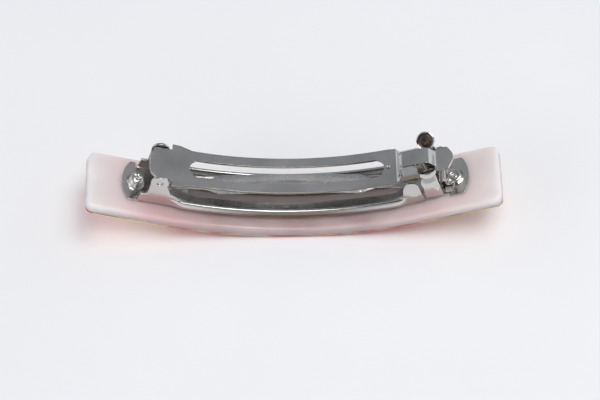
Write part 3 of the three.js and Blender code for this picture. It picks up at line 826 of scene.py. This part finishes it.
def arm_skirt(side):
    """One side of the raised tongue, folded down from it."""
    path = skirt_path()
    first, last = SKIRT["first"], SKIRT["last"]
    outline = rounded([
        (first - 0.1, 0.0), (first, 0.9, 0.3), (first + 0.25, 2.5, 0.6), (first - 0.7, 3.6, 0.5),
        (first - 0.85, path.length - 1.1, 0.3), (first, path.length, 0.3), (last - 0.2, path.length, 0.3),
        (last, 3.2, 0.6), (last - 0.2, 0.0),
    ])
    bm = flat_sheet(outline, thick=SKIRT["wall"], edge=0.08)
    cut_at(bm, 1, path.at[1:-1] + steps(0.2, path.length - 0.1, 0.7))
    cut_at(bm, 0, steps(first, last, 1.0))

    def place(s, u, n):
        y, h = path.place(u, n)
        return bent(s, side * y, h)

    move(bm, place)
    return bm


def clasp_arm(nickel):
    """The slotted frame with its tongue and lifting plate, the lugs on the pin, and the skirts."""
    slot = stadium(ARM["slot_from"], ARM["slot_to"], ARM["slot_half"])
    bm = flat_sheet(mirrored(arm_half()), [slot], thick=ARM["thick"], edge=0.03)
    cut_at(bm, 0, steps(-36.5, 26, 1.25) + steps(24.0, 25.2, 0.15) + steps(26.4, 36.8, 0.2))
    cut_at(bm, 1, steps(-0.9, 0.9, 0.15))
    move(bm, raise_arm)
    parts = [bm]
    for side in (-1, 1):
        parts += [arm_lug(side), arm_skirt(side)]
    add_piece("clasp_arm_sheet", joined(parts), nickel, "nickel_sheet", body="arm", replaced=("clasp_arm",))


# ---------------------------------------------------------------- the tension bar


def bow_height(s):
    """The height of the tension bar's underside, bowed up in the middle."""
    middle = (BOW["first"] + BOW["last"]) / 2
    reach = (BOW["last"] - BOW["first"]) / 2
    return BOW["crown"] - (BOW["crown"] - BOW["end"]) * ((s - middle) / reach) ** 2


def tension_bar(spring):
    """The thin bowed strip under the arm, wide in the middle and narrow at both feet."""
    first, last, leg, wide = BOW["first"], BOW["last"], BOW["leg"], BOW["wide"]
    half = rounded([
        (first, 0), (first, 0.5, 0.3), (first + 0.7, leg, 0.5), (BOW["wide_first"] - 1.2, leg, 1.5),
        (BOW["wide_first"] + BOW["taper"], wide, 1.5), (BOW["wide_last"] - BOW["taper"], wide, 1.5),
        (BOW["wide_last"] + 1.2, leg, 1.5), (last - 0.7, leg, 0.5), (last, 0.5, 0.3), (last, 0),
    ], closed=False)
    bm = flat_sheet(mirrored(half), thick=BOW["thick"], edge=0.08)
    cut_at(bm, 0, steps(first + 0.2, last - 0.2, 0.8))
    cut_at(bm, 1, [-1.4, -0.7, 0.0, 0.7, 1.4])

    def place(s, y, n):
        crown = 0.12 * (y / wide) ** 2
        return bent(s, y, bow_height(s) + BOW["thick"] / 2 - crown + n)

    move(bm, place)
    add_piece("tension_bar_spring", bm, spring, "spring_steel", body="bow", replaced=("tension_bar",))


# ---------------------------------------------------------------- the catch


def catch_spring(spring):
    """The floor under the prongs, and the tail that arches over in a hump and lies under the eyelet."""
    thick, floor, first, last, half = (CATCH[k] for k in ("thick", "floor", "first", "last", "half"))
    middle = floor + thick / 2
    plate = rounded([(first, -half), (last, -half), (last, half), (first, half)], 0.3)
    sheet = flat_sheet(plate, thick=thick, edge=0.05)
    cut_at(sheet, 0, steps(31.5, 35, 1.0))
    move(sheet, lambda s, y, n: bent(s, y, middle + n))
    tail_level = CATCH_RIVET["top"] + 0.03 + thick / 2
    reach = HUMP["reach"] + 0.05
    crest = HUMP["top"] - reach
    tail = Path([
        (last - 1.4, middle), (HUMP["s"] - reach, middle), (HUMP["s"] - reach, crest + reach),
        (HUMP["s"] + reach, crest + reach), (HUMP["s"] + reach, tail_level),
        (CATCH_RIVET["s"] + 1.5, tail_level),
    ], 0.62)
    wide = CATCH["tail_half"]
    strip = rounded([
        (0.0, -wide), (tail.length - 2.6, -wide, 0.6), (tail.length - 1.2, -1.7, 1.0),
        (tail.length, -0.9, 0.6), (tail.length, 0.6, 0.6), (tail.length - 1.2, 1.4, 1.0),
        (tail.length - 2.6, wide, 0.6), (0.0, wide),
    ])
    tongue = flat_sheet(strip, thick=thick, edge=0.08)
    cut_at(tongue, 0, tail.at[1:-1])

    def place(u, y, n):
        s, h = tail.place(u, n)
        return bent(s, y, h)

    move(tongue, place)
    stubs = []
    for side in (-1, 1):
        corner = Path([(3.6, middle), (PRONG["middle"], middle), (PRONG["middle"], 1.12)], 0.18)
        strap = [(31.35, 0), (35.25, 0), (35.25, corner.length), (31.35, corner.length)]
        foot = flat_sheet(rounded(strap, 0.05), thick=thick, edge=0.04)
        cut_at(foot, 1, corner.at[1:-1])
        move(foot, lambda s, u, n, side=side, corner=corner: prong_point(corner, side, s, u, n))
        stubs.append(foot)
    add_piece("catch_spring_sheet", joined([sheet, tongue, *stubs]), spring, "spring_steel",
              replaced=("catch_spring",))


def prong_point(path, side, s, u, n):
    """Where a blank's point (s, length along the path) lands on one side of the catch."""
    y, h = path.place(u, n)
    return bent(s, side * y, h)


def knuckle(s, h):
    """The dome pressed out of a prong below its pad, with a crisp lower edge that is level in the room."""
    a = (s - 33.6) / 1.95
    from_edge = h - 5.55 + 0.25 * (s - 33.0)
    edge = within_one(from_edge / 0.3)
    crown = max(0.0, 1.0 - (max(0.0, from_edge - 0.3) / 3.1) ** 2)
    width = math.sqrt(max(0.0, 1.0 - a * a))
    groove = 0.18 * math.exp(-((from_edge + 0.2) / 0.16) ** 2)
    return width * (0.75 * edge * crown - groove)


DISH_MATERIAL = 1  # the prong's second material, inside the pad: a dark metal that paints the dish's dark reflection


def finger_pad(side):
    """The round pad that a fingertip presses: domed behind, with a rolled rim around a dish in dark metal, a
    painted dark reflection.
    """
    radius, depth, rim, wall = PAD["radius"], PAD["depth"], PAD["rim"], PAD["wall"]
    quarter = [math.radians(a) for a in range(0, 91, 9)]
    outer = [(radius * math.sin(a), depth * math.cos(a)) for a in quarter]
    lip = [(radius - 0.02, -0.1), (radius - 0.14, -0.17), (radius - 0.27, -0.1)]
    inner = [
        (radius - 0.3, 0.05), (radius - 0.4, 0.2), (1.6, 0.27), (1.45, 0.29), (1.3, 0.27), (1.2, 0.23),
        (1.05, 0.21), (0.9, 0.2), (0.75, 0.22), (0.6, 0.25), (0.45, 0.27), (0.3, 0.28), (0.15, 0.28),
        (0.0, 0.28),
    ]
    bm = turned(outer + lip + inner, 0.0, 0.0, sides=48, closed=False)
    for vert in bm.verts:
        a, b, lift = vert.co
        if lift < depth - wall + 0.01 and math.hypot(a, b) < radius - wall + 0.01:
            vert.co.z += 0.05 * noise.noise(Vector((a, b, 0.0)) * 4.2)
    # The dish's faces take the dark metal, a painted dark reflection.
    for face in bm.faces:
        a, b, lift = face.calc_center_median()
        if math.hypot(a, b) < radius - 0.28 and lift < 0.5:
            face.material_index = DISH_MATERIAL
    out, down = math.cos(PAD["lean"]), math.sin(PAD["lean"])

    def place(a, b, lift):
        y = rim + lift * out + b * down
        return bent(PAD["s"] + a, side * y, PAD["h"] + b * out - lift * down)

    move(bm, place)
    return bm


def prong_barb(side):
    """The web behind the skirt and the hook that holds the skirt's lip."""
    first, last, low, high, middle = (BARB[k] for k in ("first", "last", "low", "high", "y"))
    plate = rounded([(first, low), (last, low), (last, high), (first, high)], 0.3)
    hook = flat_sheet(plate, thick=BARB["thick"], edge=0.05)
    move(hook, lambda s, h, n: bent(s, side * (middle + n), h))
    bite = rounded([(29.4, middle), (31.1, middle), (31.1, 3.12), (29.4, 3.12)], 0.15)
    tooth = flat_sheet(bite, thick=0.36, edge=0.05)
    move(tooth, lambda s, y, n: bent(s, side * y, 8.25 + n))
    rib = rounded([(2.3, low), (4.65, low), (4.65, 6.9), (2.3, 8.3)], 0.2)
    web = flat_sheet(rib, thick=0.38, edge=0.05)
    move(web, lambda y, h, n: bent(32.82 + n, side * y, h))
    return [hook, tooth, web]


def catch_prong(side, name, node, body, spring, painted_dark_dish):
    """A squeeze prong: upright foot, folded and domed knuckle, neck, pad, and the barb inside."""
    middle, thick = PRONG["middle"], PRONG["thick"]
    path = Path([(middle, 1.2), (middle, 7.1), (middle - 0.85, 9.0)], 0.8)
    outline = rounded([
        (31.45, 0.0), (31.6, 1.2, 0.5), (32.1, 4.6, 0.3), (32.0, 5.2, 0.3), (32.1, 6.4, 0.8),
        (32.9, 7.9, 0.6), (33.5, path.length, 0.2), (35.6, path.length, 0.2), (35.7, 7.9, 0.5),
        (35.9, 6.4, 0.6), (35.75, 4.6, 0.3), (35.6, 0.0),
    ])
    bm = flat_sheet(outline, thick=thick, edge=0.08)
    cut_at(bm, 1, path.at[1:-1] + steps(3.4, 7.4, 0.13))
    cut_at(bm, 0, steps(31.9, 35.6, 0.16))

    def place(s, u, n):
        y, h = path.place(u, -n)
        return bent(s, side * (y + knuckle(s, h)), h)

    move(bm, place)
    parts = [bm, finger_pad(side), *prong_barb(side)]
    prong = add_piece(name, joined(parts), spring, "spring_steel", body=body, replaced=(node,), sharp=40)
    # The pad's dish takes a dark metal: painted dark reflection.
    prong.data.materials.append(painted_dark_dish)


# ---------------------------------------------------------------- floor, light and camera


FLOOR_DROP = 0.00002  # keeps the cloth clear of the flat that the bar rests on


def floor(material):
    bm = bmesh.new()
    bmesh.ops.create_grid(bm, x_segments=60, y_segments=60, size=1.2)
    for vert in bm.verts:
        vert.co.z = -FLOOR_DROP
    mesh = bpy.data.meshes.new("floor")
    bm.to_mesh(mesh)
    bm.free()
    mesh.materials.append(material)
    cloth_sheet = bpy.data.objects.new("floor", mesh)
    bpy.context.scene.collection.objects.link(cloth_sheet)


def area_light(name, place, size, power):
    """A rectangular lamp that points at the middle of the floor."""
    light = bpy.data.lights.new(name, "AREA")
    light.shape = "RECTANGLE"
    light.size, light.size_y = size
    light.energy = power
    lamp = bpy.data.objects.new(name, light)
    lamp.location = place
    lamp.rotation_euler = (-Vector(place)).to_track_quat("-Z", "Y").to_euler()
    bpy.context.scene.collection.objects.link(lamp)


ROOM_TINT = (0.95, 0.99, 1.06)


def room_ramp(nodes, links, height, stops):
    """One side of the room: grey levels against the height of the view direction."""
    node = nodes.new("ShaderNodeValToRGB")
    elements = node.color_ramp.elements
    while len(elements) < len(stops):
        elements.new(0.5)
    for element, (place, grey) in zip(elements, stops):
        element.position = place
        element.color = (*[grey * tint for tint in ROOM_TINT], 1)
    links.new(height, node.inputs["Fac"])
    return node.outputs["Color"]


def room_blend(nodes, links, value, low, high, one, two):
    """Passes from one side of the room to the next while the value goes from low to high."""
    share = nodes.new("ShaderNodeMapRange")
    share.inputs["From Min"].default_value = low
    share.inputs["From Max"].default_value = high
    links.new(value, share.inputs["Value"])
    blend = nodes.new("ShaderNodeMix")
    blend.data_type = "RGBA"
    links.new(share.outputs["Result"], blend.inputs["Factor"])
    links.new(one, blend.inputs["A"])
    links.new(two, blend.inputs["B"])
    return blend.outputs["Result"]


def room():
    """The room that the metal mirrors: pale low down, with dark bands higher up ahead and behind."""
    world = bpy.data.worlds.new("studio room")
    world.use_nodes = True
    nodes, links = world.node_tree.nodes, world.node_tree.links
    direction = nodes.new("ShaderNodeTexCoord").outputs["Generated"]
    parts = nodes.new("ShaderNodeSeparateXYZ")
    links.new(direction, parts.inputs["Vector"])
    behind = room_ramp(nodes, links, parts.outputs["Z"], [
        (0.0, 0.85), (0.10, 0.8), (0.17, 0.06), (0.42, 0.05), (0.60, 0.31), (0.90, 0.38), (1.0, 0.5)])
    ahead = room_ramp(nodes, links, parts.outputs["Z"], [
        (0.0, 0.85), (0.15, 0.7), (0.30, 0.56), (0.49, 0.62), (0.54, 0.05), (0.93, 0.05), (1.0, 0.5)])
    beside = room_ramp(nodes, links, parts.outputs["Z"], [
        (0.0, 0.85), (0.25, 0.9), (0.50, 0.75), (0.70, 0.36), (1.0, 0.5)])
    ends = room_blend(nodes, links, parts.outputs["Y"], -0.15, 0.25, ahead, behind)
    aside = nodes.new("ShaderNodeMath")
    aside.operation = "ABSOLUTE"
    links.new(parts.outputs["X"], aside.inputs[0])
    walls = room_blend(nodes, links, aside.outputs["Value"], 0.52, 0.72, ends, beside)
    links.new(walls, nodes["Background"].inputs["Color"])
    bpy.context.scene.world = world


def lights():
    """A broad soft light above and to the right, and a weaker one low on the left."""
    room()
    area_light("overhead", (0.20, -0.16, 1.05), (0.9, 0.55), 8.3)
    area_light("left_side", (-0.9, -0.5, 0.55), (0.4, 0.4), 1.0)


def camera():
    """The photograph's view: from 55 degrees above the front, with a long lens."""
    distance, elevation = 0.600, math.radians(55)
    yaw = math.radians(-1.05)
    aim = Vector((0.00142, 0.0, 0.003))
    aim += Vector((0.0, math.sin(elevation), math.cos(elevation))) * 0.00054
    level = math.cos(elevation)
    back = Vector((math.sin(yaw) * level, -math.cos(yaw) * level, math.sin(elevation)))
    data = bpy.data.cameras.new("camera")
    data.sensor_width = 36
    data.lens = 154.6
    view = bpy.data.objects.new("camera", data)
    view.location = aim + back * distance
    view.rotation_euler = (-back).to_track_quat("-Z", "Y").to_euler()
    bpy.context.scene.collection.objects.link(view)
    bpy.context.scene.camera = view


def main():
    scene = bpy.context.scene
    scene.view_settings.view_transform = "Standard"
    camera()
    lights()
    floor(cloth())
    acetate_bar(milky_acetate(), swirled_acetate())
    bright = plated_metal("bright_nickel", (0.76, 0.75, 0.73), (0.66, 0.65, 0.63), 0.15, 0.06)
    spring = plated_metal("spring_steel", (0.72, 0.70, 0.67), (0.62, 0.60, 0.57), 0.12, 0.06)
    satin = plated_metal("satin_spring_steel", (0.68, 0.68, 0.68), (0.56, 0.565, 0.57), 0.26, 0.1)
    # The middle of the low walls' outer faces is darkened with painted shade.
    base_plate(plated_metal("base_nickel", (0.66, 0.645, 0.62), (0.57, 0.555, 0.53), 0.18, 0.08,
                            edges=(0.24, 0.2, 0.15), shade_reach=0.024))
    star_rivet(bright)
    eyelet_rivet(bright)
    hinge_pin(bright)
    # The arm's sideways faces, its rim edges, skirts and lugs, are darkened with painted shade.
    clasp_arm(plated_metal("arm_nickel_side_shade", (0.70, 0.685, 0.665), (0.52, 0.51, 0.495), 0.17, 0.13,
                           edges=(0.22, 0.185, 0.14)))
    tension_bar(satin)
    catch_spring(spring)
    # A dark metal for the pads' dishes: painted dark reflection.
    painted_dark_dish = plated_metal("pad_dish_painted_dark", (0.26, 0.21, 0.15), (0.07, 0.055, 0.045), 0.3, 0.12)
    catch_prong(-1, "prong_near_sheet", "catch_prong_near", "prong_near", spring, painted_dark_dish)
    catch_prong(1, "prong_far_sheet", "catch_prong_far", "prong_far", spring, painted_dark_dish)


main()
